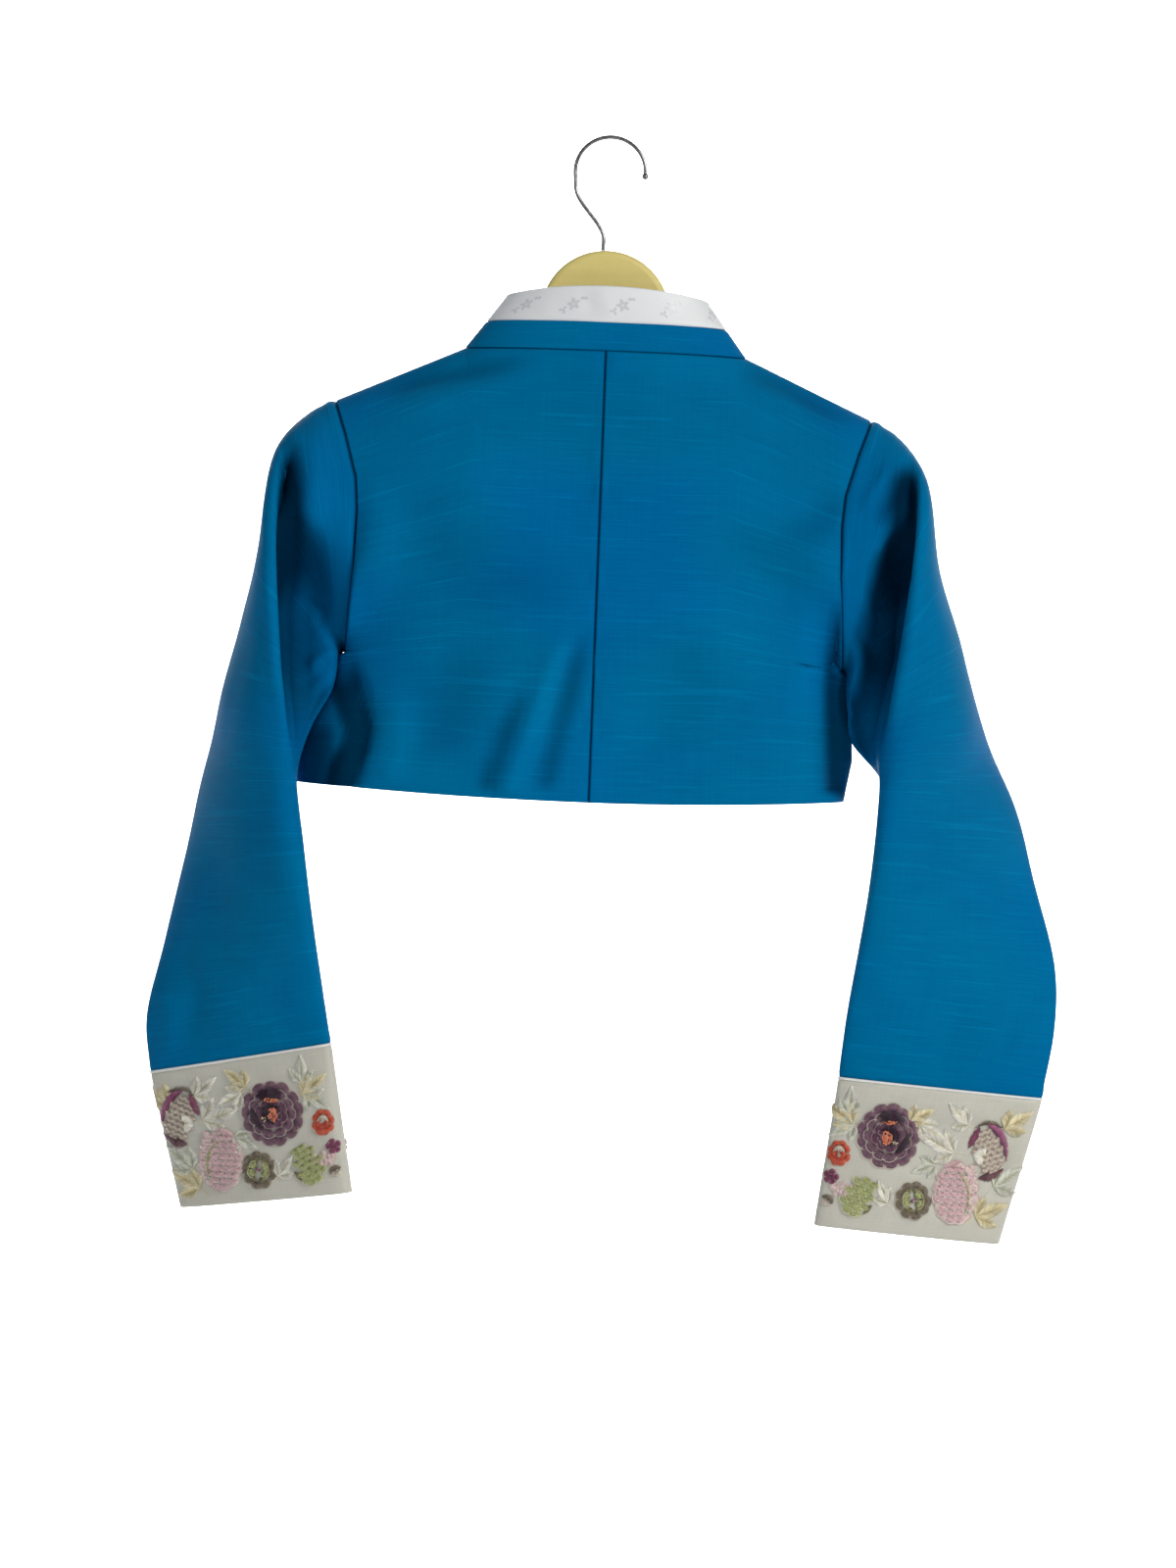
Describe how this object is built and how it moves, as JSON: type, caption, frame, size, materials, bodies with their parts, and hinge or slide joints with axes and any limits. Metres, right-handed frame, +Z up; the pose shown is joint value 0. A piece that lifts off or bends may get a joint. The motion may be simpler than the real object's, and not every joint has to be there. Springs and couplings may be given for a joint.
{
  "type": "hanbok jacket on a hanger",
  "caption": "Short silk hanbok jacket with a white collar and embroidered cuffs, hanging open and hollow on a flat hanger with a wire hook.",
  "frame": {"origin": "underside of the top of the hanger's hook, where a rail bears", "axes": "+Z up, +Y towards the wearer's front, +X towards the wearer's right sleeve"},
  "size_m": [0.6329, 0.1253, 0.7578],
  "materials": {
    "silk": "slubbed silk with a soft sheen",
    "collar": "white jacquard satin",
    "cuff": "cream silk with raised embroidery",
    "hanger": "smooth satin paint",
    "hook": "plain bent wire"
  },
  "bodies": {
    "root": {"back_left": "silk", "back_right": "silk", "front_left": "silk", "front_right": "silk", "collar_band": "silk", "collar_white": "collar", "sleeve_left": "silk", "sleeve_right": "silk", "cuff_left": "cuff", "cuff_right": "cuff", "cuff_piping_left": "collar", "cuff_piping_right": "collar", "hanger_body": "hanger", "hanger_hook": "hook"}
  },
  "joints": []
}
